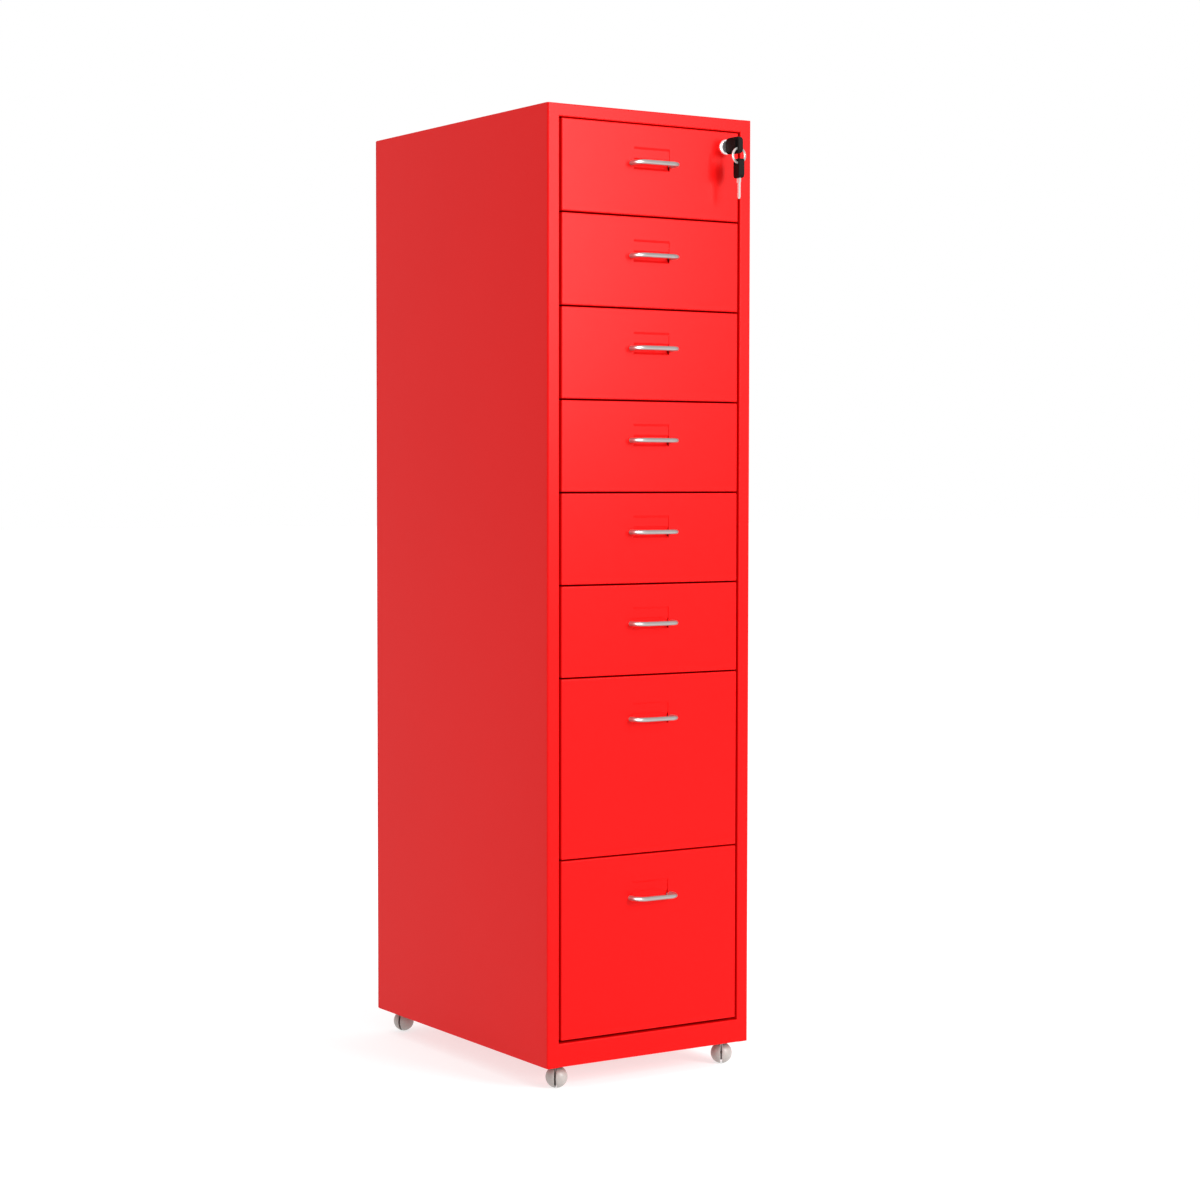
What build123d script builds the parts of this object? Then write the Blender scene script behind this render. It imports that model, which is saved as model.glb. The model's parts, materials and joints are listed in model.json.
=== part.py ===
from build123d import *
import os
from math import cos, radians, sin, sqrt

# A slim steel drawer cabinet on casters: six shallow and two deep drawers in a folded sheet body,
# each with a bow handle over a pressed label pocket, and a cam lock with its keys in the top drawer.
# Frame: millimetres, +Z up, the front faces -Y, the origin is on the floor under the middle.

# Body
BODY_WIDTH = 280.0
BODY_DEPTH = 405.0
BODY_HEIGHT = 1086.0
SHEET = 0.8
INNER_BEND = 0.5
CORNER_INNER_BEND = 1.4
PANEL_LIP = 14.0
REAR_FLANGE = 12.0

# Front frame round the drawers
STILE = 15.5
TOP_RAIL = 14.5
BOTTOM_RAIL = 26.9
CORNER_RELIEF = 0.1

# Drawers, counted from the top, sized in units of one shallow drawer
DEEP_UNITS = 1.969
DRAWER_UNITS = (1, 1, 1, 1, 1, 1, DEEP_UNITS, DEEP_UNITS)
TOP_GAP = 1.2
DRAWER_GAP = 1.8
BOTTOM_GAP = 3.3
SIDE_GAP = 3.0
PAN_DEPTH = 12.0
TRAY_REAR_GAP = 18.6
TRAY_DROP = 20.0
TRAY_RISE = 8.0
TRAY_INSET = 4.7
WALL_BELOW_POCKET = 17.8
TRAY_TAB = 13.0

# Runners and the drawer flanges that slide in them
RUNNER_SHEET = 1.0
RUNNER_REAR_GAP = 10.4
RUNNER_SETBACK = 1.0
RUNNER_SIDE_CLEARANCE = 1.8
FLANGE_WIDTH = 5.2
FLANGE_LIP = 5.0
FLANGE_HEADROOM = 0.8

# Bow handles
HANDLE_CENTRES = 56.0
HANDLE_REACH = 18.0
HANDLE_ROD = 5.4
HANDLE_BEND = 11.0
HANDLE_DROP_SHALLOW = 44.2
HANDLE_DROP_DEEP = 49.1
STUD_DIAMETER = 4.0
STUD_LENGTH = 3.0
STUD_CLEARANCE = 0.1

# Label pocket pressed into each drawer front behind the handle
POCKET_WIDTH = 49.0
POCKET_ABOVE_HANDLE = 18.7
POCKET_BELOW_HANDLE = 7.0
POCKET_CREASE = 2.6
POCKET_CREASE_DEPTH = 0.6
POCKET_SLOPE_ABOVE_HANDLE = 6.0
POCKET_DEPTH = 3.6
POCKET_STEP = 3.5
POCKET_BEND = 2.5
POCKET_SLIT = 0.3

# Cam lock in the top drawer's upper right corner
LOCK_INSET_SIDE = 18.0
LOCK_INSET_TOP = 17.4
COLLAR_DIAMETER = 18.0
COLLAR_HEIGHT = 3.2
COLLAR_EDGE = 2.6
BARREL_DIAMETER = 15.8
BARREL_FLATS = 13.4
BARREL_PAST_KEY = 2.0
BARREL_CLEARANCE = 0.1
NUT_ACROSS_FLATS = 20.0
NUT_THICKNESS = 4.0
NUT_TURN = 30.0
PLUG_DIAMETER = 11.0
PLUG_CLEARANCE = 0.05
SHANK_SIDE = 6.0
CAM_GAP = 0.3
CAM_THICKNESS = 2.0
CAM_WIDTH = 12.0
CAM_REACH = 25.0
CAM_CLEARANCE = 0.05
CAM_PAST_FRAME = 2.0

# Keys and the ring that joins them
KEY_THICKNESS = 2.0
KEY_WIDTH = 6.0
KEY_LENGTH = 23.8
KEY_NECK = 5.1
KEY_NECK_WIDTH = 9.0
KEY_TIP = 2.4
KEY_TIP_EDGE = 1.0
KEY_TANG_LENGTH = 12.0
KEY_EDGE_DROP = 1.2
KEY_CUTS = 4
KEY_CUT_PITCH = 3.2
KEY_CUT_SIDE = 1.4
KEYWAY_CLEARANCE = 0.1
BOW_LENGTH = 22.0
BOW_WIDTH = 19.0
BOW_THICKNESS = 7.4
BOW_CORNER = 4.5
BOW_EDGE = 1.0
BOW_SLOT_INSET = 4.0
BOW_SLOT_WIDTH = 4.5
BOW_SLOT_LENGTH = 13.0
BOW_SLOT_CORNER = 1.0
RING_DIAMETER = 19.5
RING_BAND = 2.5
RING_THICKNESS = 2.0
RING_EDGE = 0.6
RING_CLEARANCE = 0.35
SPARE_TURN = 16.0

# Twin-wheel casters
WHEEL_DIAMETER = 25.3
WHEEL_HALF_TRACK = 12.4
WHEEL_GAP = 2.8
WHEEL_TREAD = 3.6
WHEEL_CAP_RADIUS = 3.7
WHEEL_HUB_RADIUS = 4.3
WHEEL_RIM = 2.0
WHEEL_DISH = 4.6
WHEEL_EDGE = 0.5
WHEEL_CAP = 2.0
AXLE_DIAMETER = 3.0
AXLE_FIT = 0.03
WHEEL_FIT = 0.05
AXLE_END_GAP = 0.4
WEB_CLEARANCE = 0.4
WEB_RADIUS = 8.6
NECK_WIDTH = 10.0
CASTER_TRAIL = 3.0
WHEEL_CLEARANCE = 0.4
SWIVEL_DISC_RADIUS = 8.5
SWIVEL_DISC = 1.6
SWIVEL_GAP = 0.1
STEM_DIAMETER = 8.0
STEM_LENGTH = 20.0
STEM_NOSE = 2.0
STEM_HEAD_RADIUS = 6.0
STEM_HEAD = 0.8
STEM_FIT = 0.05
SOCKET_FLANGE_RADIUS = 9.0
SOCKET_FLANGE = 1.0
SOCKET_WALL = 1.6
SOCKET_CAP = 1.5
SOCKET_FIT = 0.05
CASTER_INSET_SIDE = 24.0
CASTER_INSET_END = 20.0
# How far each caster has swivelled at rest, in degrees from straight back towards the right
CASTER_HEADINGS = {
    "front_left": 41.0,
    "front_right": 36.0,
    "rear_left": 57.0,
    "rear_right": 48.0,
}

# Worked out from the driving dimensions
BEND = INNER_BEND + SHEET
CORNER_BEND = CORNER_INNER_BEND + SHEET
RUNNER_BEND = INNER_BEND + RUNNER_SHEET
BODY_BOTTOM = WHEEL_DIAMETER + WHEEL_CLEARANCE + SWIVEL_DISC + SWIVEL_GAP + SOCKET_FLANGE
BODY_TOP = BODY_BOTTOM + BODY_HEIGHT
KEY_SHOULDER = COLLAR_HEIGHT + KEY_NECK + KEYWAY_CLEARANCE
RING_SETOFF = KEY_SHOULDER + BOW_LENGTH - BOW_SLOT_INSET
SPARE_ANGLE = radians(SPARE_TURN)
SPARE_SIDE = (BOW_WIDTH / 2 - BOW_EDGE) * cos(SPARE_ANGLE)
SPARE_FACE = (BOW_THICKNESS / 2 - BOW_EDGE) * sin(SPARE_ANGLE)
KEY_REACH = RING_SETOFF + SPARE_SIDE + SPARE_FACE + BOW_EDGE
FRONT = (KEY_REACH - BODY_DEPTH) / 2
REAR = FRONT + BODY_DEPTH
BARREL_LENGTH = KEY_LENGTH - KEY_SHOULDER + BARREL_PAST_KEY
FRAME_RETURN = BARREL_LENGTH - CAM_PAST_FRAME
HALF_WIDTH = BODY_WIDTH / 2
HALF_INSIDE = HALF_WIDTH - SHEET
HALF_OPENING = HALF_WIDTH - STILE
HALF_RAIL = HALF_OPENING + BEND
OPENING_TOP = BODY_TOP - TOP_RAIL
OPENING_BOTTOM = BODY_BOTTOM + BOTTOM_RAIL
FRONTS_TOP = OPENING_TOP - TOP_GAP
FRONTS_BOTTOM = OPENING_BOTTOM + BOTTOM_GAP
UNIT = (FRONTS_TOP - FRONTS_BOTTOM + DRAWER_GAP) / sum(DRAWER_UNITS)
FRONT_WIDTH = 2 * (HALF_OPENING - SIDE_GAP)
POCKET_FOOT = UNIT - DRAWER_GAP - HANDLE_DROP_SHALLOW - POCKET_BELOW_HANDLE
TRAY_FRONT_WALL = POCKET_FOOT - WALL_BELOW_POCKET - TRAY_RISE
TRAY_WIDTH = FRONT_WIDTH - 2 * TRAY_INSET
TRAY_FRONT = FRONT + SHEET
TRAY_LENGTH = REAR - 2 * SHEET - TRAY_REAR_GAP - TRAY_FRONT
FLANGE_FRONT = FRONT + PAN_DEPTH + RUNNER_SETBACK
RUNNER_FRONT = FRONT + FRAME_RETURN + RUNNER_SETBACK
RUNNER_LENGTH = REAR - 2 * SHEET - RUNNER_REAR_GAP - RUNNER_FRONT
LOCK_X = FRONT_WIDTH / 2 - LOCK_INSET_SIDE
LOCK_Z = FRONTS_TOP - LOCK_INSET_TOP
CAM_FRONT = FRONT + BARREL_LENGTH + CAM_GAP
RING_INNER = RING_DIAMETER / 2 - RING_BAND
RING_SAG = RING_INNER - sqrt(RING_INNER**2 - (BOW_THICKNESS / 2) ** 2)
RING_Y = FRONT - RING_SETOFF
RING_Z = LOCK_Z - BOW_SLOT_LENGTH / 2 + RING_SAG + RING_CLEARANCE - RING_INNER
SPARE_CROSSING = (BOW_THICKNESS + RING_THICKNESS * sin(SPARE_ANGLE)) / 2 / cos(SPARE_ANGLE)
SPARE_SAG = RING_INNER - sqrt(RING_INNER**2 - SPARE_CROSSING**2)
SPARE_SLOT_TOP = RING_Z - RING_INNER + SPARE_SAG + RING_CLEARANCE
SPARE_BOW_FOOT = SPARE_SLOT_TOP + BOW_SLOT_INSET - BOW_SLOT_WIDTH / 2 - BOW_LENGTH
WHEEL_RADIUS = WHEEL_DIAMETER / 2
AXLE_LENGTH = 2 * (WHEEL_HALF_TRACK - WHEEL_CAP - AXLE_END_GAP)
WEB_THICKNESS = WHEEL_GAP - 2 * WEB_CLEARANCE
DISC_BOTTOM = WHEEL_DIAMETER + WHEEL_CLEARANCE
DISC_TOP = DISC_BOTTOM + SWIVEL_DISC


def level(z):
    """Plane at a height, its own x along X and y along Y."""
    return Plane.XY.offset(z)


def facing_front(y):
    """Upright plane that faces the front, its own x along X and y along Z."""
    return Plane.XZ.offset(-y)


def facing_right(x):
    """Upright plane that faces the right, its own x along Y and y along Z."""
    return Plane.YZ.offset(x)


def folded_sheet(plane, points, side, radius=BEND, thickness=SHEET):
    """Section of a sheet folded along its outer face's points, thickened to one side."""
    with BuildSketch(plane) as section:
        with BuildLine():
            FilletPolyline(*points, radius=radius)
            offset(amount=thickness, side=side)
        make_face()
    return section.sketch


def corner_reliefs():
    """Squares cut from a panel's corners, where the walls bend."""
    size = 2 * (CORNER_BEND - SHEET + CORNER_RELIEF)
    with BuildSketch() as squares:
        with Locations((0, (FRONT + REAR - SHEET) / 2)):
            with GridLocations(2 * HALF_INSIDE, BODY_DEPTH - 3 * SHEET, 2, 2):
                Rectangle(size, size)
    return squares.sketch


def save(part, name):
    """Label one finished piece and write it to its own file."""
    part.label = name
    export_step(part, f"parts/{name}.step")


def drawer_levels():
    """Number, lower edge and height of each drawer front, from the top down."""
    levels = []
    top = FRONTS_TOP
    for number, units in enumerate(DRAWER_UNITS, start=1):
        height = units * UNIT - DRAWER_GAP
        levels.append((number, top - height, height))
        top -= units * UNIT
    return levels


# Side panels: a wall with the front stile and its return, and a flange for the back panel
def side_panel(hand):
    wall = hand * HALF_WIDTH
    stile_edge = hand * HALF_OPENING
    points = [
        (stile_edge, FRONT + FRAME_RETURN),
        (stile_edge, FRONT),
        (wall, FRONT),
        (wall, REAR - SHEET),
        (wall - hand * REAR_FLANGE, REAR - SHEET),
    ]
    inside = Side.LEFT if hand > 0 else Side.RIGHT
    section = folded_sheet(level(BODY_BOTTOM), points, inside, radius=[BEND, CORNER_BEND, BEND])
    notch_middle = (HALF_RAIL + HALF_OPENING - FRAME_RETURN) / 2
    notch_width = HALF_RAIL - HALF_OPENING + FRAME_RETURN
    with BuildPart() as panel:
        extrude(section, amount=BODY_HEIGHT)
        # The stile's return stops where the rails cross it
        for foot, height in ((BODY_BOTTOM, BOTTOM_RAIL), (OPENING_TOP, TOP_RAIL)):
            with BuildSketch(level(foot)):
                with Locations((hand * notch_middle, FRONT)):
                    Rectangle(notch_width, 2 * (FRAME_RETURN + SHEET))
            extrude(amount=height, mode=Mode.SUBTRACT)
    return panel.part


# Top panel: a sheet lipped against the walls, with the top rail and a rear flange
def top_panel():
    lipped = [
        (-HALF_INSIDE, BODY_TOP - PANEL_LIP),
        (-HALF_INSIDE, BODY_TOP),
        (HALF_INSIDE, BODY_TOP),
        (HALF_INSIDE, BODY_TOP - PANEL_LIP),
    ]
    railed = [
        (FRONT + FRAME_RETURN, OPENING_TOP),
        (FRONT, OPENING_TOP),
        (FRONT, BODY_TOP),
        (REAR - SHEET, BODY_TOP),
        (REAR - SHEET, BODY_TOP - PANEL_LIP),
    ]
    with BuildPart() as panel:
        extrude(
            folded_sheet(facing_front(FRONT + SHEET), lipped, Side.RIGHT),
            amount=-(BODY_DEPTH - 3 * SHEET),
        )
        extrude(folded_sheet(facing_right(-HALF_RAIL), railed, Side.RIGHT), amount=2 * HALF_RAIL)
        extrude(corner_reliefs(), amount=BODY_TOP, mode=Mode.SUBTRACT)
    return panel.part


# Bottom panel: the floor sheet, lipped upwards, with the bottom rail and the caster holes
def bottom_panel():
    lipped = [
        (-HALF_INSIDE, BODY_BOTTOM + PANEL_LIP),
        (-HALF_INSIDE, BODY_BOTTOM),
        (HALF_INSIDE, BODY_BOTTOM),
        (HALF_INSIDE, BODY_BOTTOM + PANEL_LIP),
    ]
    railed = [
        (FRONT + FRAME_RETURN, OPENING_BOTTOM),
        (FRONT, OPENING_BOTTOM),
        (FRONT, BODY_BOTTOM),
        (REAR - SHEET, BODY_BOTTOM),
        (REAR - SHEET, BODY_BOTTOM + PANEL_LIP),
    ]
    hole_radius = STEM_DIAMETER / 2 + STEM_FIT + SOCKET_WALL + SOCKET_FIT
    with BuildPart() as panel:
        extrude(
            folded_sheet(facing_front(FRONT + SHEET), lipped, Side.LEFT),
            amount=-(BODY_DEPTH - 3 * SHEET),
        )
        extrude(folded_sheet(facing_right(-HALF_RAIL), railed, Side.LEFT), amount=2 * HALF_RAIL)
        extrude(corner_reliefs(), amount=BODY_TOP, mode=Mode.SUBTRACT)
        with BuildSketch(level(BODY_BOTTOM)):
            with Locations(*caster_places().values()):
                Circle(hole_radius)
        extrude(amount=SHEET, mode=Mode.SUBTRACT)
    return panel.part


# Back panel: a plain sheet against the rear flanges
def back_panel():
    with BuildPart() as panel:
        with BuildSketch(facing_front(REAR)):
            with Locations((0, BODY_BOTTOM + BODY_HEIGHT / 2)):
                RectangleRounded(BODY_WIDTH, BODY_HEIGHT, BEND)
        extrude(amount=SHEET)
    return panel.part


def flange_top(lower_edge, height):
    """Height of a tray's flange above the floor, for a front with this lower edge and height."""
    return lower_edge + height - TRAY_DROP


# Runners: sixteen channels on the walls, open towards the drawers
def drawer_runners():
    tip = TRAY_WIDTH / 2 + RUNNER_SIDE_CLEARANCE
    with BuildPart() as runners:
        for _, lower_edge, height in drawer_levels():
            ceiling = flange_top(lower_edge, height) + FLANGE_HEADROOM + RUNNER_SHEET
            floor = flange_top(lower_edge, height) - FLANGE_LIP - RUNNER_SHEET
            for hand in (-1, 1):
                points = [
                    (hand * tip, floor),
                    (hand * HALF_INSIDE, floor),
                    (hand * HALF_INSIDE, ceiling),
                    (hand * tip, ceiling),
                ]
                section = folded_sheet(
                    facing_front(RUNNER_FRONT),
                    points,
                    Side.LEFT if hand > 0 else Side.RIGHT,
                    radius=RUNNER_BEND,
                    thickness=RUNNER_SHEET,
                )
                extrude(section, amount=-RUNNER_LENGTH)
    return runners.part


# Drawer tray: an open box whose side walls end in flanges that hang in the runners
def drawer_tray(lower_edge, height):
    floor = lower_edge + TRAY_RISE
    rim = flange_top(lower_edge, height)
    half = TRAY_WIDTH / 2
    with BuildPart() as tray:
        with BuildSketch(level(floor)):
            with Locations((0, TRAY_FRONT + TRAY_LENGTH / 2)):
                Rectangle(TRAY_WIDTH, TRAY_LENGTH)
        extrude(amount=rim - floor)
        fillet(tray.edges() - tray.edges().group_by(Axis.Z)[-1], radius=BEND)
        offset(amount=-SHEET, openings=tray.faces().sort_by(Axis.Z)[-1])
        # The front wall is cut down to a weld flange with a tab at each side
        with BuildSketch(facing_front(TRAY_FRONT)):
            with Locations((0, rim)):
                Rectangle(TRAY_WIDTH - 2 * TRAY_TAB, 2 * (rim - floor - TRAY_FRONT_WALL))
                Rectangle(TRAY_WIDTH, 2 * TRAY_TAB)
        extrude(amount=-2 * BEND, mode=Mode.SUBTRACT)
        for hand in (-1, 1):
            points = [
                (hand * (half - SHEET / 2), rim),
                (hand * (half + FLANGE_WIDTH), rim),
                (hand * (half + FLANGE_WIDTH), rim - FLANGE_LIP),
            ]
            inside = Side.RIGHT if hand > 0 else Side.LEFT
            section = folded_sheet(facing_front(FLANGE_FRONT), points, inside)
            extrude(section, amount=FLANGE_FRONT - TRAY_FRONT - TRAY_LENGTH)
    return tray.part


def handle_height(lower_edge, height):
    """Height of a drawer's handle above the floor."""
    drop = HANDLE_DROP_DEEP if height > UNIT else HANDLE_DROP_SHALLOW
    return lower_edge + height - drop


def double_flat(clearance):
    """Outline of the lock barrel on the front's own plane, grown by a clearance."""
    with BuildSketch(facing_front(FRONT)) as outline:
        with Locations((LOCK_X, LOCK_Z)):
            Circle(BARREL_DIAMETER / 2 + clearance)
            Rectangle(BARREL_FLATS + 2 * clearance, 2 * BARREL_DIAMETER, mode=Mode.INTERSECT)
    return outline.sketch


# Drawer front: a shallow pan with the label pocket pressed in between two end slits
def drawer_front(lower_edge, height, locked):
    grip = handle_height(lower_edge, height)
    pocket_top = grip + POCKET_ABOVE_HANDLE
    pocket_foot = grip - POCKET_BELOW_HANDLE
    pressed = [
        (FRONT, pocket_top + POCKET_STEP),
        (FRONT, pocket_top),
        (FRONT + POCKET_CREASE_DEPTH, pocket_top - POCKET_CREASE),
        (FRONT + POCKET_CREASE_DEPTH, grip + POCKET_SLOPE_ABOVE_HANDLE),
        (FRONT + POCKET_DEPTH, pocket_foot + POCKET_STEP),
        (FRONT, pocket_foot),
        (FRONT, pocket_foot - POCKET_STEP),
    ]
    strip = POCKET_WIDTH - 2 * POCKET_SLIT
    with BuildPart() as front:
        with BuildSketch(facing_front(FRONT)):
            with Locations((0, lower_edge + height / 2)):
                Rectangle(FRONT_WIDTH, height)
        extrude(amount=-PAN_DEPTH)
        fillet(front.edges() - front.edges().group_by(Axis.Y)[-1], radius=BEND)
        offset(amount=-SHEET, openings=front.faces().sort_by(Axis.Y)[-1])
        with BuildSketch(facing_front(FRONT)):
            with Locations((0, (pocket_top + pocket_foot) / 2)):
                Rectangle(POCKET_WIDTH, pocket_top - pocket_foot)
            with Locations((0, grip)):
                with GridLocations(HANDLE_CENTRES, 0, 2, 1):
                    Circle(STUD_DIAMETER / 2 + STUD_CLEARANCE)
        extrude(amount=-SHEET, mode=Mode.SUBTRACT)
        pocket = folded_sheet(facing_right(-strip / 2), pressed, Side.LEFT, radius=POCKET_BEND)
        extrude(pocket, amount=strip)
        if locked:
            extrude(double_flat(BARREL_CLEARANCE), amount=-SHEET, mode=Mode.SUBTRACT)
    return front.part


# Bow handle: a bent rod with a stud on each foot through the drawer front
def drawer_handle(lower_edge, height):
    grip = handle_height(lower_edge, height)
    foot = HANDLE_CENTRES / 2
    with BuildPart() as handle:
        with BuildLine(level(grip)) as bow:
            FilletPolyline(
                (-foot, FRONT),
                (-foot, FRONT - HANDLE_REACH),
                (foot, FRONT - HANDLE_REACH),
                (foot, FRONT),
                radius=HANDLE_BEND,
            )
        with BuildSketch(Plane(origin=bow.line @ 0, z_dir=bow.line % 0)):
            Circle(HANDLE_ROD / 2)
        sweep()
        with BuildSketch(facing_front(FRONT)):
            with Locations((0, grip)):
                with GridLocations(HANDLE_CENTRES, 0, 2, 1):
                    Circle(STUD_DIAMETER / 2)
        extrude(amount=-(SHEET + STUD_LENGTH))
    return handle.part


# Lock barrel: a collar on the drawer front and a threaded body with two flats
def lock_barrel():
    with BuildPart() as barrel:
        with BuildSketch(facing_front(FRONT)):
            with Locations((LOCK_X, LOCK_Z)):
                Circle(COLLAR_DIAMETER / 2)
        extrude(amount=COLLAR_HEIGHT)
        fillet(barrel.edges().group_by(Axis.Y)[0], radius=COLLAR_EDGE)
        extrude(double_flat(0), amount=-BARREL_LENGTH)
        with BuildSketch(facing_front(FRONT - COLLAR_HEIGHT)):
            with Locations((LOCK_X, LOCK_Z)):
                Circle(PLUG_DIAMETER / 2 + PLUG_CLEARANCE)
        extrude(amount=-(COLLAR_HEIGHT + BARREL_LENGTH), mode=Mode.SUBTRACT)
    return barrel.part


# Lock nut: clamps the barrel from inside the drawer front
def lock_nut():
    with BuildPart() as nut:
        with BuildSketch(facing_front(FRONT + SHEET)):
            with Locations((LOCK_X, LOCK_Z)):
                RegularPolygon(NUT_ACROSS_FLATS / 2, 6, major_radius=False, rotation=NUT_TURN)
                Circle(BARREL_DIAMETER / 2 + BARREL_CLEARANCE, mode=Mode.SUBTRACT)
        extrude(amount=-NUT_THICKNESS)
    return nut.part


# Lock plug: turns in the barrel, takes the key and carries the cam on a square shank
def lock_plug():
    keyway_depth = KEY_LENGTH - KEY_SHOULDER + COLLAR_HEIGHT + KEYWAY_CLEARANCE
    keyway_width = KEY_WIDTH + 2 * KEYWAY_CLEARANCE
    face = FRONT - COLLAR_HEIGHT
    with BuildPart() as plug:
        with BuildSketch(facing_front(face)):
            with Locations((LOCK_X, LOCK_Z)):
                Circle(PLUG_DIAMETER / 2)
        extrude(amount=-(CAM_FRONT - face))
        with BuildSketch(facing_front(CAM_FRONT)):
            with Locations((LOCK_X, LOCK_Z)):
                Rectangle(SHANK_SIDE, SHANK_SIDE)
        extrude(amount=-CAM_THICKNESS)
        with BuildSketch(facing_front(face)):
            with Locations((LOCK_X, LOCK_Z)):
                Rectangle(KEY_THICKNESS + 2 * KEYWAY_CLEARANCE, keyway_width)
        extrude(amount=-keyway_depth, mode=Mode.SUBTRACT)
    return plug.part


# Lock cam: an arm on the plug that swings up behind the top rail's return
def lock_cam():
    arm = CAM_REACH - CAM_WIDTH / 2
    with BuildPart() as cam:
        with BuildSketch(facing_front(CAM_FRONT)):
            with Locations((LOCK_X - arm / 2, LOCK_Z)):
                SlotCenterToCenter(arm, CAM_WIDTH)
            with Locations((LOCK_X, LOCK_Z)):
                side = SHANK_SIDE + 2 * CAM_CLEARANCE
                Rectangle(side, side, mode=Mode.SUBTRACT)
        extrude(amount=-CAM_THICKNESS)
    return cam.part


def main_key_plane():
    """Key frame of the key in the lock: x towards its tip, y across its blade."""
    return Plane(origin=(LOCK_X, FRONT - KEY_SHOULDER, LOCK_Z), x_dir=(0, 1, 0), z_dir=(1, 0, 0))


def spare_key_plane():
    """Key frame of the spare that hangs from the ring, a little turned, with its tip downwards."""
    facing = (cos(SPARE_ANGLE), -sin(SPARE_ANGLE), 0)
    return Plane(origin=(LOCK_X, RING_Y, SPARE_BOW_FOOT), x_dir=(0, 0, -1), z_dir=facing)


# Key blade: a narrow blade with cuts along one edge, a wider neck, and a tang inside the bow
def key_blade(plane):
    half = KEY_WIDTH / 2
    cut_edge = half - KEY_EDGE_DROP
    with BuildPart() as blade:
        with BuildSketch(plane):
            with BuildLine():
                Polyline(
                    (0, -half),
                    (KEY_LENGTH - KEY_TIP, -half),
                    (KEY_LENGTH, -KEY_TIP_EDGE),
                    (KEY_LENGTH, 0),
                    (KEY_LENGTH - KEY_TIP, cut_edge),
                    (0, cut_edge),
                    close=True,
                )
            make_face()
            with Locations(((KEY_NECK - KEY_TANG_LENGTH) / 2, 0)):
                Rectangle(KEY_TANG_LENGTH + KEY_NECK, KEY_NECK_WIDTH)
            for cut in range(KEY_CUTS):
                place = KEY_NECK + KEY_CUT_PITCH * (cut + 0.5)
                with Locations((place, cut_edge)):
                    Rectangle(KEY_CUT_SIDE, KEY_CUT_SIDE, rotation=45, mode=Mode.SUBTRACT)
        extrude(amount=KEY_THICKNESS / 2, both=True)
    return blade.part


# Key bow: a rounded plastic head moulded over the tang, slotted for the ring
def key_bow(plane):
    with BuildPart() as bow:
        with BuildSketch(plane):
            with Locations((-BOW_LENGTH / 2, 0)):
                RectangleRounded(BOW_LENGTH, BOW_WIDTH, BOW_CORNER)
        extrude(amount=BOW_THICKNESS / 2, both=True)
        across = Axis(plane.origin, plane.z_dir)
        fillet(bow.edges().filter_by(across, reverse=True), radius=BOW_EDGE)
        with BuildSketch(plane):
            with Locations((BOW_SLOT_INSET - BOW_LENGTH, 0)):
                RectangleRounded(BOW_SLOT_WIDTH, BOW_SLOT_LENGTH, BOW_SLOT_CORNER)
        extrude(amount=BOW_THICKNESS, both=True, mode=Mode.SUBTRACT)
        with BuildSketch(plane):
            with Locations((-KEY_TANG_LENGTH / 2, 0)):
                Rectangle(KEY_TANG_LENGTH, KEY_NECK_WIDTH)
        extrude(amount=KEY_THICKNESS / 2, both=True, mode=Mode.SUBTRACT)
    return bow.part


# Key ring: a flat band through both bows
def key_ring():
    with BuildPart() as ring:
        with BuildSketch(facing_right(LOCK_X)):
            with Locations((RING_Y, RING_Z + (RING_DIAMETER - RING_BAND) / 2)):
                RectangleRounded(RING_THICKNESS, RING_BAND, RING_EDGE)
        revolve(axis=Axis((LOCK_X, RING_Y, RING_Z), (0, 1, 0)))
    return ring.part


def caster_places():
    """Swivel axis of each caster on the floor plan."""
    across = HALF_WIDTH - CASTER_INSET_SIDE
    return {
        "front_left": (-across, FRONT + CASTER_INSET_END),
        "front_right": (across, FRONT + CASTER_INSET_END),
        "rear_left": (-across, REAR - CASTER_INSET_END),
        "rear_right": (across, REAR - CASTER_INSET_END),
    }


# Caster sockets: flanged sleeves pressed up through the floor sheet
def caster_sockets():
    bore = STEM_DIAMETER / 2 + STEM_FIT
    with BuildPart() as sockets:
        for place in caster_places().values():
            with BuildSketch(level(BODY_BOTTOM - SOCKET_FLANGE)):
                with Locations(place):
                    Circle(SOCKET_FLANGE_RADIUS)
            extrude(amount=SOCKET_FLANGE)
            with BuildSketch(level(BODY_BOTTOM)):
                with Locations(place):
                    Circle(bore + SOCKET_WALL)
            extrude(amount=STEM_LENGTH + SOCKET_CAP)
            with BuildSketch(level(BODY_BOTTOM - SOCKET_FLANGE)):
                with Locations(place):
                    Circle(bore)
            extrude(amount=SOCKET_FLANGE + STEM_LENGTH, mode=Mode.SUBTRACT)
    return sockets.part


def wheel_centre(place, heading):
    """Middle of a caster's wheels, which trail behind its swivel axis."""
    return (
        place[0] + CASTER_TRAIL * sin(heading),
        place[1] + CASTER_TRAIL * cos(heading),
        WHEEL_RADIUS,
    )


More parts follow.
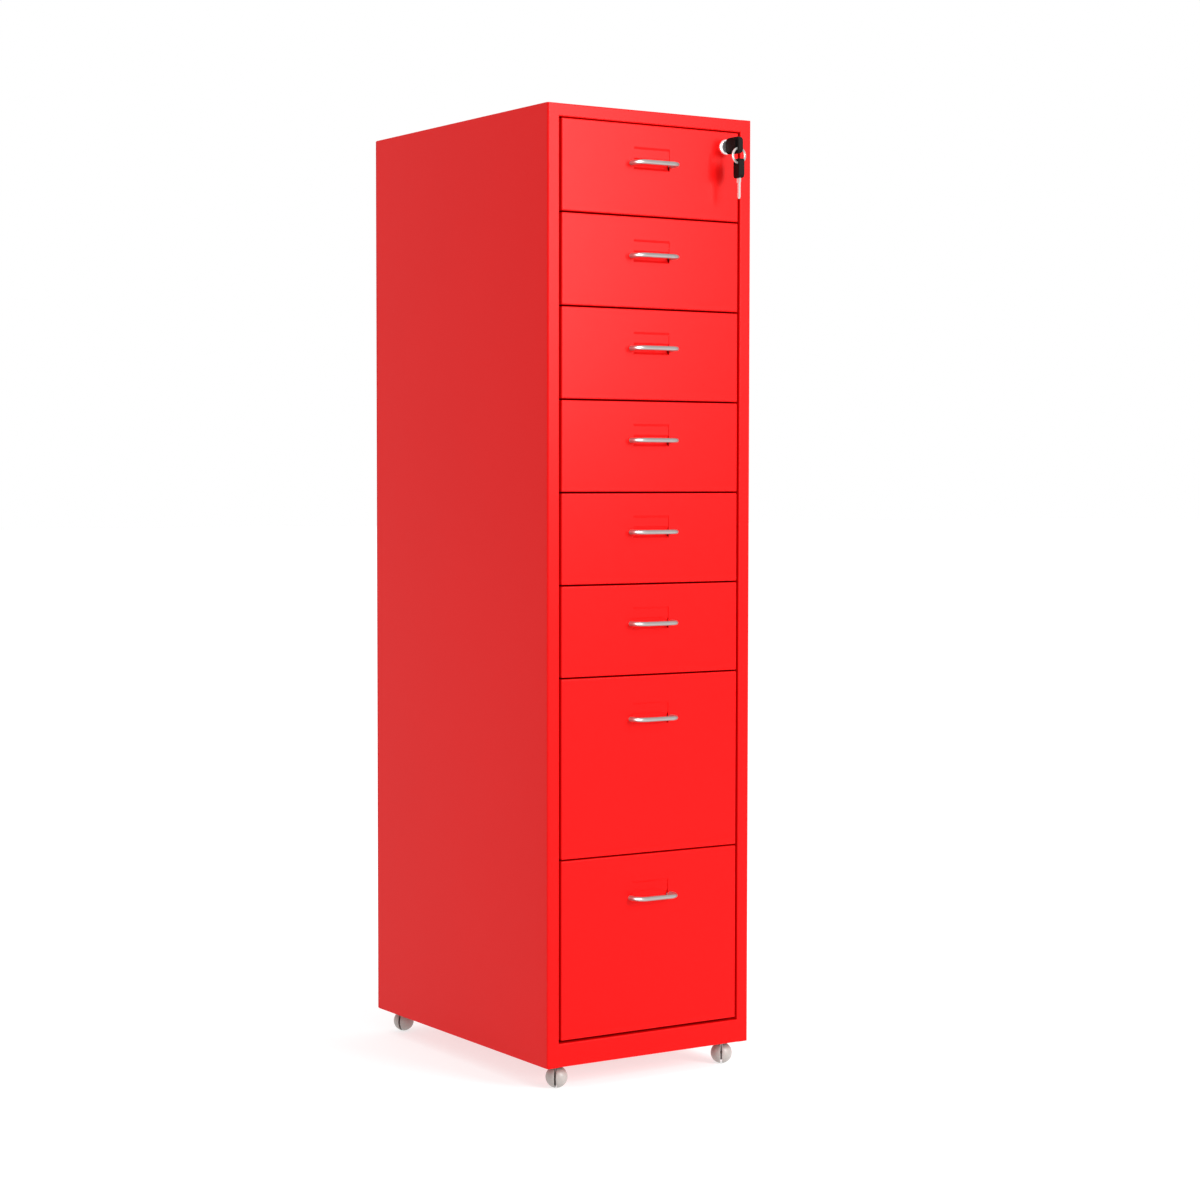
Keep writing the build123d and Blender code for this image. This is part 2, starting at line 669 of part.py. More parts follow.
# Caster body: a web between the wheels, a neck and the swivel disc
def caster_body(place, heading):
    centre = wheel_centre(place, heading)
    across = (cos(heading), -sin(heading), 0)
    rolling = Plane(origin=centre, x_dir=(sin(heading), cos(heading), 0), z_dir=across)
    with BuildPart() as body:
        with BuildSketch(rolling):
            Circle(WEB_RADIUS)
            with Locations((-CASTER_TRAIL, (DISC_BOTTOM - WHEEL_RADIUS) / 2)):
                Rectangle(NECK_WIDTH, DISC_BOTTOM - WHEEL_RADIUS)
            Circle(AXLE_DIAMETER / 2 + AXLE_FIT, mode=Mode.SUBTRACT)
        extrude(amount=WEB_THICKNESS / 2, both=True)
        with BuildSketch(level(DISC_BOTTOM)):
            with Locations(place):
                Circle(SWIVEL_DISC_RADIUS)
        extrude(amount=SWIVEL_DISC)
        with BuildSketch(level(DISC_TOP - STEM_HEAD)):
            with Locations(place):
                Circle(STEM_HEAD_RADIUS + STEM_FIT)
        extrude(amount=STEM_HEAD, mode=Mode.SUBTRACT)
    return body.part


# Caster stem: a headed pin fixed in the swivel disc, which turns in the socket
def caster_stem(place):
    with BuildPart() as stem:
        with BuildSketch(level(DISC_TOP - STEM_HEAD)):
            with Locations(place):
                Circle(STEM_HEAD_RADIUS)
        extrude(amount=STEM_HEAD)
        with BuildSketch(level(DISC_TOP)):
            with Locations(place):
                Circle(STEM_DIAMETER / 2)
        extrude(amount=SOCKET_FLANGE + STEM_LENGTH)
        fillet(stem.edges().group_by(Axis.Z)[-1], radius=STEM_NOSE)
    return stem.part


# Caster axle: a pin through the web that both wheels spin on
def caster_axle(place, heading):
    across = (cos(heading), -sin(heading), 0)
    with BuildPart() as axle:
        with BuildSketch(Plane(origin=wheel_centre(place, heading), z_dir=across)):
            Circle(AXLE_DIAMETER / 2)
        extrude(amount=AXLE_LENGTH / 2, both=True)
    return axle.part


# Caster wheel: a domed half ball, dished on its inner side round a blind hub
def caster_wheel(place, heading, hand):
    centre = wheel_centre(place, heading)
    across = (hand * cos(heading), -hand * sin(heading), 0)
    away = (-hand * sin(heading), -hand * cos(heading), 0)
    inner = WHEEL_GAP / 2
    bore = AXLE_DIAMETER / 2 + WHEEL_FIT
    hub_end = AXLE_LENGTH / 2 + AXLE_END_GAP
    rim = WHEEL_RADIUS - WHEEL_RIM
    with BuildPart() as wheel:
        with BuildSketch(Plane(origin=centre, x_dir=across, z_dir=away)):
            with BuildLine():
                dome = TangentArc(
                    (inner + WHEEL_TREAD, WHEEL_RADIUS),
                    (WHEEL_HALF_TRACK, WHEEL_CAP_RADIUS),
                    tangent=(1, 0),
                )
                Polyline(
                    dome @ 1,
                    (WHEEL_HALF_TRACK, 0),
                    (hub_end, 0),
                    (hub_end, bore),
                    (inner, bore),
                    (inner, WHEEL_HUB_RADIUS),
                    (inner + WHEEL_DISH, WHEEL_HUB_RADIUS),
                    (inner + WHEEL_DISH, rim),
                    (inner, rim),
                    (inner, WHEEL_RADIUS - WHEEL_EDGE),
                    (inner + WHEEL_EDGE, WHEEL_RADIUS),
                    dome @ 0,
                )
            make_face()
        revolve(axis=Axis(centre, across))
    return wheel.part


def main():
    os.makedirs("parts", exist_ok=True)
    save(side_panel(-1), "left_side_panel")
    save(side_panel(1), "right_side_panel")
    save(top_panel(), "top_panel")
    save(bottom_panel(), "bottom_panel")
    save(back_panel(), "back_panel")
    save(drawer_runners(), "drawer_runners")
    save(caster_sockets(), "caster_sockets")
    for number, lower_edge, height in drawer_levels():
        save(drawer_tray(lower_edge, height), f"drawer_{number}_tray")
        save(drawer_front(lower_edge, height, locked=number == 1), f"drawer_{number}_front")
        save(drawer_handle(lower_edge, height), f"drawer_{number}_handle")
    save(lock_barrel(), "lock_barrel")
    save(lock_nut(), "lock_nut")
    save(lock_plug(), "lock_plug")
    save(lock_cam(), "lock_cam")
    save(key_blade(main_key_plane()), "key_blade")
    save(key_bow(main_key_plane()), "key_bow")
    save(key_ring(), "key_ring")
    save(key_blade(spare_key_plane()), "spare_key_blade")
    save(key_bow(spare_key_plane()), "spare_key_bow")
    for corner, place in caster_places().items():
        heading = radians(CASTER_HEADINGS[corner])
        save(caster_body(place, heading), f"{corner}_caster_body")
        save(caster_stem(place), f"{corner}_caster_stem")
        save(caster_axle(place, heading), f"{corner}_caster_axle")
        save(caster_wheel(place, heading, -1), f"{corner}_wheel_left")
        save(caster_wheel(place, heading, 1), f"{corner}_wheel_right")


main()
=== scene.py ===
import json
from math import cos, pi, radians

import bpy
from mathutils import Matrix, Vector

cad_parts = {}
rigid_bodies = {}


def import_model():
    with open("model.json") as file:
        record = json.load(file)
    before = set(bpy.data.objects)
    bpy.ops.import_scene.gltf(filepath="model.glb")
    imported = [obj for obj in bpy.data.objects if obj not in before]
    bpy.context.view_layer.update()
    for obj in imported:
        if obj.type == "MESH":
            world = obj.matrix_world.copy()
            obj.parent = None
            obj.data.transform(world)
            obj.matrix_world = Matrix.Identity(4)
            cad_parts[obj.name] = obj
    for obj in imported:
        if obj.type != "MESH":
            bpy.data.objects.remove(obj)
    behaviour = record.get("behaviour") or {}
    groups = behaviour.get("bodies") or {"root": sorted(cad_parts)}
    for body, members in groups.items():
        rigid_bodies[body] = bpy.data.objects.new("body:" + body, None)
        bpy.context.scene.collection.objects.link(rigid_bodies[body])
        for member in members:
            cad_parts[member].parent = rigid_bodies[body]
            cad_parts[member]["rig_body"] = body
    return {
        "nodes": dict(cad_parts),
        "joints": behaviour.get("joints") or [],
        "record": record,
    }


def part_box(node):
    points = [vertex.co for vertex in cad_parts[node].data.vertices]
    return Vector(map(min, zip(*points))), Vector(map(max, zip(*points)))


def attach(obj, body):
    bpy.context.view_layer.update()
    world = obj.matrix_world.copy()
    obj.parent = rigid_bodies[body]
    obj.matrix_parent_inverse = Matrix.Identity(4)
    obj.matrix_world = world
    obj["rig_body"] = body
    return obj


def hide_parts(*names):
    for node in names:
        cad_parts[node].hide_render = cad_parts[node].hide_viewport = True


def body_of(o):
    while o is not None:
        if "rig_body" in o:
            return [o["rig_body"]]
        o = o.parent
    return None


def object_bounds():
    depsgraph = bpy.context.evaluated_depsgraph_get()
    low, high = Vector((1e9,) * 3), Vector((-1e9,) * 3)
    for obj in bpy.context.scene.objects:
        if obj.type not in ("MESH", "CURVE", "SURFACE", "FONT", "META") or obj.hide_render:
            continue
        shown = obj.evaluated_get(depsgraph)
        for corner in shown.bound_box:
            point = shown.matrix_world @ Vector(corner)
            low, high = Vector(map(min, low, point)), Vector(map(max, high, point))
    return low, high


# The looks of a slim red steel drawer cabinet on casters: the finish of every piece, the fasteners behind
# the handles and the lock, and a rounder key head and rounder wheels than the CAD's. Metres, +Z up, and
# the drawers open towards -Y.

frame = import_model()
cad_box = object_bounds()
nodes = frame["nodes"]

# The CAD's pieces by name
DRAWERS = range(1, 9)
CORNERS = ("front_left", "front_right", "rear_left", "rear_right")
HANDLES = [f"drawer_{number}_handle" for number in DRAWERS]
KEY_METAL = ["key_blade", "spare_key_blade", "key_ring"]
LOCK_METAL = ["lock_barrel", "lock_plug"]

# Drawer front and handle that the nuts fit
SHEET = 0.0008
HANDLE_ROD = 0.0054
STUD_RADIUS = 0.002

# Nuts behind the handles. Here and below, a pair for an edge is its width and its number of steps.
NUT_SIDES = 6
NUT_ACROSS_FLATS = 0.007
NUT_HEIGHT = 0.0024
NUT_CHAMFER = (0.0003, 1)
NUT_BORE_CLEARANCE = 0.00005
NUT_BORE_SIDES = 32

# Screw and washer that hold the lock's cam
SCREW_SIDES = 40
SCREW_HEAD_RADIUS = 0.0038
SCREW_HEAD_HEIGHT = 0.0020
SCREW_HEAD_ROUND = (0.0009, 4)
SCREW_SLOT_WIDTH = 0.0009
SCREW_SLOT_DEPTH = 0.0010
WASHER_RADIUS = 0.0048
WASHER_HEIGHT = 0.0006
WASHER_EDGE = (0.00015, 2)

# Head of the key in the lock
HEAD_TOWARDS_LOCK = 0.0046
HEAD_LOCK_ROUND = (0.0062, 16)
HEAD_OUTER_ROUND = (0.0052, 12)
HEAD_EDGE_ROUND = (0.0016, 4)
RING_SLOT_INSET = 0.0040
RING_SLOT_WIDTH = 0.0045
RING_SLOT_LENGTH = 0.0130
RING_SLOT_ROUND = (0.0010, 3)

# Half-ball wheels
BALL_SEGMENTS = 64
BALL_RINGS = 32
BALL_RADIUS = 0.01265
BALL_HALF_GAP = 0.0012
BALL_EDGE = 0.0004
BALL_EDGE_STEPS = 3
BALL_RIM = 0.0016
BALL_DISH = 0.0036
HUB_RADIUS = 0.0043
AXLE_HOLE_RADIUS = 0.00155
AXLE_HOLE_DEPTH = 0.0090

# Limits for picking faces by their normal and points by their place, and the angle of a sharp edge
FACING = 0.9
SQUARELY_FACING = 0.9995
SAME_PLACE = 1e-6
SHARP_ANGLE = radians(30)

# How many times as long as its cut a cutter is
CUT_THROUGH = 2

# Colours, each as the two ends of its variation
PAINT_REDS = ((0.62, 0.0028, 0.0028), (0.66, 0.0036, 0.0036))
NICKEL_GREYS = ((0.37, 0.35, 0.34), (0.43, 0.41, 0.40))
CHROME_GREYS = ((0.83, 0.83, 0.84), (0.90, 0.90, 0.90))
KEY_GREYS = ((0.40, 0.38, 0.365), (0.48, 0.46, 0.445))
ZINC_GREYS = ((0.56, 0.57, 0.60), (0.68, 0.68, 0.67))
KEY_HEAD_BLACKS = ((0.005, 0.004, 0.004), (0.016, 0.013, 0.012))
CASTER_BROWNS = ((0.15, 0.115, 0.105), (0.21, 0.165, 0.150))
WHEEL_GREYS = ((0.31, 0.285, 0.265), (0.39, 0.365, 0.345))
WHITE = (1.0, 1.0, 1.0, 1.0)

# Sockets of a Mix node that mixes colours
MIX_FACTOR = 0
MIX_FIRST = 6
MIX_SECOND = 7
MIX_RESULT = 2

# Camera, fitted to the photograph's edges
CAMERA_PLACE = (-1.6667, -2.6443, 0.6968)
CAMERA_YAW = radians(32.984)
CAMERA_PITCH = radians(2.704)
CAMERA_ROLL = radians(-0.072)
CAMERA_LENS = 77.52
CAMERA_SENSOR = 36.0

# Studio
FLOOR_SIZE = 60.0
FLOOR_GREY = (0.40, 0.40, 0.40, 1.0)
FLOOR_ROUGHNESS = 0.9
FLOOR_GLOW = 0.66
WORLD_STRENGTH = 1.0
LIGHT_AIM = Vector((0.0, 0.0, 0.75))
FRONT_LIGHT_PLACE = Vector((1.05, -3.0, 1.62))
FRONT_LIGHT_SIZE = (1.25, 1.6)
FRONT_LIGHT_WATTS = 118.0
STRIP_PLACE = Vector((-2.75, -1.25, 1.0))
STRIP_SIZE = (1.2, 1.4)
STRIP_WATTS = 380.0


class Value:
    """A shader socket that takes part in Python expressions."""

    def __init__(self, finish, socket):
        self.finish = finish
        self.socket = socket

    def maths(self, operation, first, second):
        """Add one Math node."""
        return self.finish.node("ShaderNodeMath", {"operation": operation}, {0: first, 1: second})

    def __add__(self, other):
        return self.maths("ADD", self, other)

    def __radd__(self, other):
        return self.maths("ADD", other, self)

    def __mul__(self, other):
        return self.maths("MULTIPLY", self, other)

    def __rmul__(self, other):
        return self.maths("MULTIPLY", other, self)


class Finish:
    """A material whose nodes are added one call at a time."""

    def __init__(self, name, constants):
        self.material = bpy.data.materials.new(name)
        self.material.use_nodes = True
        self.tree = self.material.node_tree
        self.shader = self.tree.nodes["Principled BSDF"]
        self.feed(constants)
        self.place = self.node("ShaderNodeTexCoord", output="Object")

    def feed(self, values, node=None):
        """Set or link the sockets of a node, the shader's own unless another is given."""
        for name, value in values.items():
            socket = (node or self.shader).inputs[name]
            if isinstance(value, Value):
                self.tree.links.new(value.socket, socket)
            else:
                socket.default_value = value

    def node(self, kind, settings=None, inputs=None, output=0):
        """Add one node and give back its output."""
        made = self.tree.nodes.new(kind)
        for name, value in (settings or {}).items():
            setattr(made, name, value)
        self.feed(inputs or {}, made)
        return Value(self, made.outputs[output])

    def noise(self, per_metre, detail=2.0, place=None):
        """Soft noise from 0 to 1, with this many features to a metre."""
        inputs = {"Vector": place or self.place, "Scale": per_metre, "Detail": detail}
        return self.node("ShaderNodeTexNoise", None, inputs, "Fac")

    def streaks(self, per_metre, detail=2.0):
        """Noise with its own number of features to a metre along X, Y and Z."""
        stretched = self.node("ShaderNodeMapping", None, {"Vector": self.place, "Scale": per_metre})
        return self.noise(per_metre=1.0, detail=detail, place=stretched)

    def cells(self, per_metre):
        """One random number from 0 to 1 for each cell of a crystal pattern."""
        inputs = {"Vector": self.place, "Scale": per_metre}
        colour = self.node("ShaderNodeTexVoronoi", None, inputs, "Color")
        return self.node("ShaderNodeSeparateColor", None, {"Color": colour}, "Red")

    def mixed(self, factor, colours):
        """Colour between two colours."""
        first, second = colours
        inputs = {MIX_FACTOR: factor, MIX_FIRST: (*first, 1.0), MIX_SECOND: (*second, 1.0)}
        return self.node("ShaderNodeMix", {"data_type": "RGBA"}, inputs, MIX_RESULT)

    def bumped(self, height, rise):
        """Normal of a surface that rises by this distance where height is 1."""
        return self.node("ShaderNodeBump", None, {"Height": height, "Distance": rise}, "Normal")


def red_paint():
    """Satin powder coat: a fine orange peel over sheet that isn't quite flat."""
    paint = Finish("red_powder_coat", {"IOR": 1.175})
    tone = paint.noise(per_metre=4.0, detail=3.0)
    peel = paint.noise(per_metre=850.0, detail=1.0)
    sheen = paint.noise(per_metre=60.0)
    waves = paint.noise(per_metre=7.0, detail=0.0)
    paint.feed({
        "Base Color": paint.mixed(tone, PAINT_REDS),
        "Roughness": 0.25 + 0.05 * sheen + 0.04 * peel,
        "Normal": paint.bumped(peel + 4.0 * waves, rise=0.000025),
    })
    return paint.material


def satin_nickel():
    """Plated rod with a fine satin grain."""
    nickel = Finish("satin_nickel", {"Metallic": 1.0})
    tone = nickel.noise(per_metre=90.0)
    grain = nickel.streaks(per_metre=(150.0, 1800.0, 1800.0))
    nickel.feed({
        "Base Color": nickel.mixed(tone, NICKEL_GREYS),
        "Roughness": 0.34 + 0.12 * grain,
        "Normal": nickel.bumped(grain, rise=0.000006),
    })
    return nickel.material


def bright_chrome():
    """Polished plate with faint handling marks."""
    chrome = Finish("bright_chrome", {"Metallic": 1.0})
    tone = chrome.noise(per_metre=120.0)
    marks = chrome.streaks(per_metre=(300.0, 300.0, 2600.0), detail=3.0)
    chrome.feed({
        "Base Color": chrome.mixed(tone, CHROME_GREYS),
        "Roughness": 0.32 + 0.10 * marks,
    })
    return chrome.material


def key_steel():
    """Dull nickel-plated key stock, brushed along its length."""
    steel = Finish("key_steel", {"Metallic": 0.7})
    tone = steel.noise(per_metre=200.0)
    strokes = steel.streaks(per_metre=(2400.0, 2400.0, 240.0))
    steel.feed({
        "Base Color": steel.mixed(tone, KEY_GREYS),
        "Roughness": 0.20 + 0.14 * strokes,
        "Normal": steel.bumped(strokes, rise=0.000008),
    })
    return steel.material


def zinc_plate():
    """Zinc with its crystal pattern and a faint change of tint."""
    zinc = Finish("zinc_plate", {"Metallic": 1.0})
    crystals = zinc.cells(per_metre=420.0)
    haze = zinc.noise(per_metre=900.0)
    zinc.feed({
        "Base Color": zinc.mixed(crystals, ZINC_GREYS),
        "Roughness": 0.32 + 0.12 * crystals + 0.06 * haze,
    })
    return zinc.material


def black_plastic():
    """Spark-textured black plastic of the key heads."""
    plastic = Finish("black_plastic", {"IOR": 1.12})
    grain = plastic.noise(per_metre=1900.0, detail=3.0)
    plastic.feed({
        "Base Color": plastic.mixed(grain, KEY_HEAD_BLACKS),
        "Roughness": 0.52 + 0.16 * grain,
        "Normal": plastic.bumped(grain, rise=0.00012),
    })
    return plastic.material


def brown_plastic():
    """Dark brown-grey moulded plastic of the casters' bodies."""
    plastic = Finish("brown_plastic", {"IOR": 1.45})
    scuffs = plastic.noise(per_metre=320.0, detail=4.0)
    grain = plastic.noise(per_metre=1500.0)
    plastic.feed({
        "Base Color": plastic.mixed(scuffs, CASTER_BROWNS),
        "Roughness": 0.42 + 0.16 * scuffs,
        "Normal": plastic.bumped(grain, rise=0.00002),
    })
    return plastic.material


def grey_plastic():
    """Warm grey moulded plastic of the casters' wheels, a little scuffed."""
    plastic = Finish("grey_plastic", {"IOR": 1.46})
    scuffs = plastic.noise(per_metre=260.0, detail=4.0)
    grain = plastic.noise(per_metre=1500.0)
    plastic.feed({
        "Base Color": plastic.mixed(scuffs, WHEEL_GREYS),
        "Roughness": 0.30 + 0.16 * scuffs,
        "Normal": plastic.bumped(grain, rise=0.00002),
    })
    return plastic.material


FINISHES = {
    "red_paint": red_paint(),
    "satin_nickel": satin_nickel(),
    "chrome": bright_chrome(),
    "key_steel": key_steel(),
    "zinc_steel": zinc_plate(),
    "black_plastic": black_plastic(),
    "brown_plastic": brown_plastic(),
    "grey_plastic": grey_plastic(),
}


def finish_frame():
    """Give every CAD node the finish of its material slot."""
    for row in frame["record"]["subparts"]:
        nodes[row["node"]].material_slots[0].material = FINISHES[row["material_slot"]]


def start_fresh():
    """Leave nothing selected, so that an operator reaches only the new piece."""
    bpy.ops.object.select_all(action="DESELECT")


def take_up(piece):
    """Select one piece alone, so that an operator reaches nothing else."""
    start_fresh()
    piece.select_set(True)
    bpy.context.view_layer.objects.active = piece


def set_down(name):
    """Name the new primitive and put its place, turn and size into its mesh."""
    piece = bpy.context.object
    piece.name = name
    bpy.ops.object.transform_apply(location=True, rotation=True, scale=True)
    return piece


def cylinder(name, radius, depth, sides, place=(0, 0, 0), turn=0.0):
    """Cylinder along Y, with its middle at a place."""
    start_fresh()
    bpy.ops.mesh.primitive_cylinder_add(
        vertices=sides, radius=radius, depth=depth, location=place, rotation=(radians(90), turn, 0)
    )
    return set_down(name)


def block(name, middle, half_size):
    """Box round a middle: a cube that reaches 1 each way, scaled to half the box's size."""
    start_fresh()
    bpy.ops.mesh.primitive_cube_add(size=2.0, location=middle)
    bpy.context.object.scale = half_size
    return set_down(name)


def cut_away(piece, cutter):
    """Take the cutter's shape out of a piece."""
    take_up(piece)
    cut = piece.modifiers.new("cut", "BOOLEAN")
    cut.object = cutter
    cut.operation = "DIFFERENCE"
    bpy.ops.object.modifier_apply(modifier="cut")
    bpy.data.objects.remove(cutter)


def start_picking(piece, kind):
    """Leave nothing on a piece selected, before its faces or edges are picked."""
    take_up(piece)
    bpy.ops.object.mode_set(mode="EDIT")
    bpy.ops.mesh.select_mode(type=kind)
    bpy.ops.mesh.select_all(action="DESELECT")
    bpy.ops.object.mode_set(mode="OBJECT")


def pick_faces(piece, wanted):
    """Go into edit mode with only the wanted faces selected, by their normal."""
    start_picking(piece, "FACE")
    for face in piece.data.polygons:
        face.select = wanted(face.normal)
    bpy.ops.object.mode_set(mode="EDIT")


def pick_corners(piece, wanted):
    """Go into edit mode with only the wanted edges along X selected, by their place along Y."""
    start_picking(piece, "EDGE")
    for edge in piece.data.edges:
        first, second = (piece.data.vertices[end].co for end in edge.vertices)
        edge.select = (first - second).yz.length < SAME_PLACE and wanted(first.y)
    bpy.ops.object.mode_set(mode="EDIT")


def bevel_picked(edge):
    """Round what is selected and leave edit mode."""
    width, steps = edge
    bpy.ops.mesh.bevel(offset=width, segments=steps, affect="EDGES")
    bpy.ops.object.mode_set(mode="OBJECT")


def bevel_faces(piece, edge, wanted):
    """Round the edges of the faces that are wanted, by their normal."""
    pick_faces(piece, wanted)
    bevel_picked(edge)


def round_corners(piece, edge, wanted):
    """Round the edges along X that are wanted, by their place along Y."""
    pick_corners(piece, wanted)
    bevel_picked(edge)


def step_in(border, depth):
    """Inset the selected face by a border, then push it along X."""
    bpy.ops.mesh.inset(thickness=border)
    bpy.ops.mesh.extrude_region_move(TRANSFORM_OT_translate={"value": (depth, 0, 0)})


def placed_copy(pattern, name, placing):
    """Copy of a pattern with its own mesh, turned and moved by a matrix."""
    piece = pattern.copy()
    piece.data = pattern.data.copy()
    piece.name = name
    bpy.context.collection.objects.link(piece)
    piece.data.transform(placing)
    return piece


def settle(piece, body, slot):
    """Smooth a finished piece, paint it and let it ride on its body."""
    take_up(piece)
    bpy.ops.object.shade_smooth_by_angle(angle=SHARP_ANGLE)
    piece.data.materials.clear()
    piece.data.materials.append(FINISHES[slot])
    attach(piece, body)


def handle_nuts():
    """A hexagon nut on each handle stud, behind the drawer front."""
    half_side = pi / NUT_SIDES
    corner_radius = NUT_ACROSS_FLATS / 2 / cos(half_side)
    pattern = cylinder("handle_nut", corner_radius, NUT_HEIGHT, NUT_SIDES, turn=half_side)
    bevel_faces(pattern, NUT_CHAMFER, lambda normal: abs(normal.y) > FACING)
    bore_radius = STUD_RADIUS + NUT_BORE_CLEARANCE
    cut_away(pattern, cylinder("bore", bore_radius, CUT_THROUGH * NUT_HEIGHT, NUT_BORE_SIDES))
    for number in DRAWERS:
        lowest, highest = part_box(f"drawer_{number}_handle")
        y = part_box(f"drawer_{number}_front")[0].y + SHEET + NUT_HEIGHT / 2
        z = (lowest.z + highest.z) / 2
        for side, x in (("left", lowest.x + HANDLE_ROD / 2), ("right", highest.x - HANDLE_ROD / 2)):
            nut = placed_copy(pattern, f"drawer_{number}_{side}_nut", Matrix.Translation((x, y, z)))
            settle(nut, f"drawer_{number}", "zinc_steel")
    bpy.data.objects.remove(pattern)


def cam_screw():
    """A slotted screw and its washer that hold the cam on the lock plug."""
    lowest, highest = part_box("lock_plug")
    middle = (lowest + highest) / 2
    middle.y = highest.y + WASHER_HEIGHT / 2
    washer = cylinder("cam_washer", WASHER_RADIUS, WASHER_HEIGHT, SCREW_SIDES, middle)
    bevel_faces(washer, WASHER_EDGE, lambda normal: abs(normal.y) > FACING)
    settle(washer, "lock_core", "zinc_steel")
    middle.y = highest.y + WASHER_HEIGHT + SCREW_HEAD_HEIGHT / 2
    head = cylinder("cam_screw", SCREW_HEAD_RADIUS, SCREW_HEAD_HEIGHT, SCREW_SIDES, middle)
    bevel_faces(head, SCREW_HEAD_ROUND, lambda normal: normal.y > FACING)
    middle.y = highest.y + WASHER_HEIGHT + SCREW_HEAD_HEIGHT
    half_slot = (CUT_THROUGH * SCREW_HEAD_RADIUS, SCREW_SLOT_DEPTH, SCREW_SLOT_WIDTH / 2)
    cut_away(head, block("screw_slot", middle, half_slot))
    settle(head, "lock_core", "zinc_steel")


def key_head():
    """A rounder head than the CAD's for the key in the lock, which hides the key's neck."""
    lowest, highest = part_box("key_bow")
    lock_end = highest + Vector((0, HEAD_TOWARDS_LOCK, 0))
    head = block("key_head", (lowest + lock_end) / 2, (lock_end - lowest) / 2)
    round_corners(head, HEAD_LOCK_ROUND, lambda y: y > highest.y)
    round_corners(head, HEAD_OUTER_ROUND, lambda y: y < lowest.y + SAME_PLACE)
    bevel_faces(head, HEAD_EDGE_ROUND, lambda normal: abs(normal.x) > FACING)
    middle = (lowest + highest) / 2
    middle.y = lowest.y + RING_SLOT_INSET
    half_width = CUT_THROUGH * (highest.x - lowest.x) / 2
    slot = block("ring_slot", middle, (half_width, RING_SLOT_WIDTH / 2, RING_SLOT_LENGTH / 2))
    round_corners(slot, RING_SLOT_ROUND, lambda y: True)
    cut_away(head, slot)
    settle(head, body_of(nodes["key_bow"])[0], "black_plastic")
    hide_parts("key_bow")


def half_ball():
    """A half-ball wheel along +X with a rounded rim, dished inside round a blind hub."""
    start_fresh()
    bpy.ops.mesh.primitive_uv_sphere_add(
        segments=BALL_SEGMENTS, ring_count=BALL_RINGS, radius=BALL_RADIUS, rotation=(0, radians(90), 0)
    )
    ball = set_down("half_ball")
    pick_faces(ball, lambda normal: True)
    bpy.ops.mesh.bisect(
        plane_co=(BALL_HALF_GAP, 0, 0), plane_no=(1, 0, 0), use_fill=True, clear_inner=True
    )
    bpy.ops.mesh.select_all(action="SELECT")
    bpy.ops.mesh.normals_make_consistent(inside=False)
    bpy.ops.object.mode_set(mode="OBJECT")
    bevel_faces(ball, (BALL_EDGE, BALL_EDGE_STEPS), lambda normal: normal.x < -SQUARELY_FACING)
    pick_faces(ball, lambda normal: normal.x < -SQUARELY_FACING)
    step_in(BALL_RIM, BALL_DISH)
    step_in(BALL_RADIUS - BALL_EDGE - BALL_RIM - HUB_RADIUS, -BALL_DISH)
    step_in(HUB_RADIUS - AXLE_HOLE_RADIUS, AXLE_HOLE_DEPTH)
    bpy.ops.object.mode_set(mode="OBJECT")
    return ball


def ball_wheels():
    """Rounder wheels than the CAD's, each on the axle of the wheel that it stands for."""
    pattern = half_ball()
    spins = {row["child"]: row for row in frame["joints"]}
    for corner in CORNERS:
        for side, hand in (("left", -1), ("right", 1)):
            cad_wheel = f"{corner}_wheel_{side}"
            hub = body_of(nodes[cad_wheel])[0]
            outwards = hand * Vector(spins[hub]["axis"])
            turn = outwards.to_track_quat("X", "Z").to_matrix().to_4x4()
            placing = Matrix.Translation(spins[hub]["pos_m"]) @ turn
            wheel = placed_copy(pattern, f"{corner}_ball_{side}", placing)
            settle(wheel, hub, "grey_plastic")
            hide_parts(cad_wheel)
    bpy.data.objects.remove(pattern)


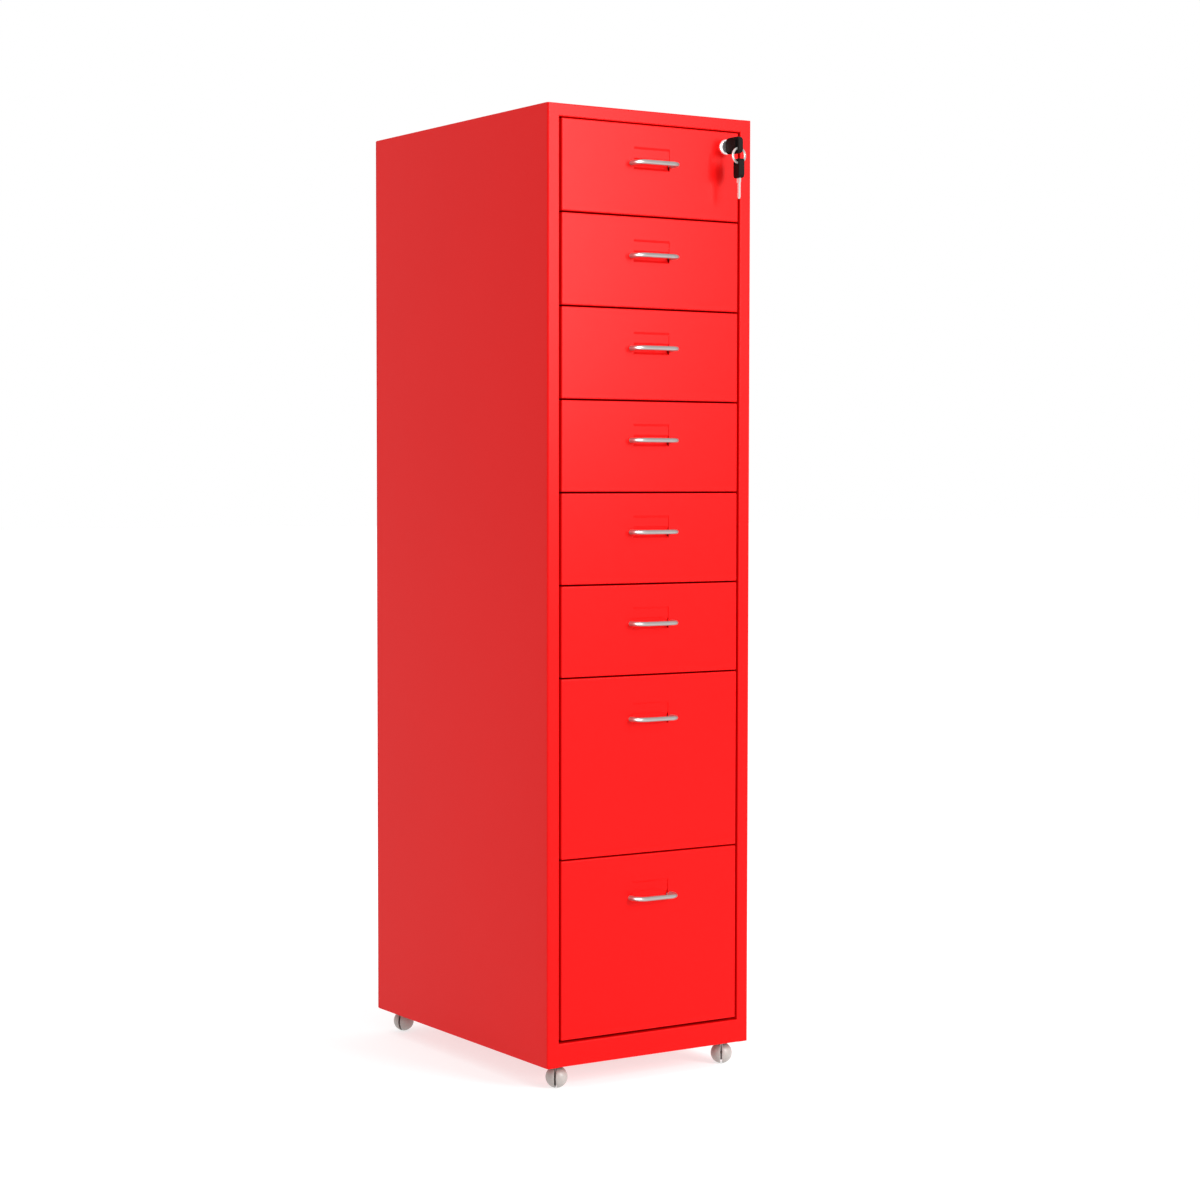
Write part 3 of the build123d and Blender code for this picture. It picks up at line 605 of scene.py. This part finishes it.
def studio_floor():
    """Plain pale floor under the casters."""
    start_fresh()
    bpy.ops.mesh.primitive_plane_add(size=FLOOR_SIZE, location=(0, 0, cad_box[0].z))
    floor = bpy.context.object
    floor.name = "studio_floor"
    pale = Finish("pale_floor", {"Base Color": FLOOR_GREY, "Roughness": FLOOR_ROUGHNESS})
    pale.feed({"Emission Color": WHITE, "Emission Strength": FLOOR_GLOW})
    floor.data.materials.append(pale.material)


def area_light(name, place, size, watts):
    """Soft rectangular light turned towards the cabinet."""
    lamp = bpy.data.lights.new(name, "AREA")
    lamp.shape = "RECTANGLE"
    lamp.size, lamp.size_y = size
    lamp.energy = watts
    light = bpy.data.objects.new(name, lamp)
    light.location = place
    light.rotation_euler = (LIGHT_AIM - place).to_track_quat("-Z", "Y").to_euler()
    bpy.context.collection.objects.link(light)
    return light


def link_light(light, names, state):
    """Let a light reach only the nodes with these names (INCLUDE), or all but them (EXCLUDE)."""
    linked = bpy.data.collections.new(light.name + "_link")
    for name in names:
        linked.objects.link(nodes[name])
    for entry in linked.collection_objects:
        entry.light_linking.link_state = state
    light.light_linking.receiver_collection = linked


def studio_light():
    """White surroundings, a soft light before the drawers and a strip on the left for the bright metal."""
    world = bpy.data.worlds.new("white_studio")
    world.use_nodes = True
    background = world.node_tree.nodes["Background"]
    background.inputs["Color"].default_value = WHITE
    background.inputs["Strength"].default_value = WORLD_STRENGTH
    bpy.context.scene.world = world
    bpy.context.scene.view_settings.view_transform = "Standard"
    front = area_light("front_light", FRONT_LIGHT_PLACE, FRONT_LIGHT_SIZE, FRONT_LIGHT_WATTS)
    link_light(front, HANDLES + KEY_METAL, "EXCLUDE")
    strip = area_light("left_strip", STRIP_PLACE, STRIP_SIZE, STRIP_WATTS)
    link_light(strip, HANDLES + KEY_METAL + LOCK_METAL, "INCLUDE")


def photo_camera():
    """Camera at the photograph's place and angle."""
    lens = bpy.data.cameras.new("photo_camera")
    lens.lens = CAMERA_LENS
    lens.sensor_width = CAMERA_SENSOR
    lens.clip_end = 2 * FLOOR_SIZE
    camera = bpy.data.objects.new("photo_camera", lens)
    camera.location = CAMERA_PLACE
    camera.rotation_euler = (radians(90) - CAMERA_PITCH, CAMERA_ROLL, -CAMERA_YAW)
    bpy.context.collection.objects.link(camera)
    bpy.context.scene.camera = camera


finish_frame()
handle_nuts()
cam_screw()
key_head()
ball_wheels()
studio_floor()
studio_light()
photo_camera()
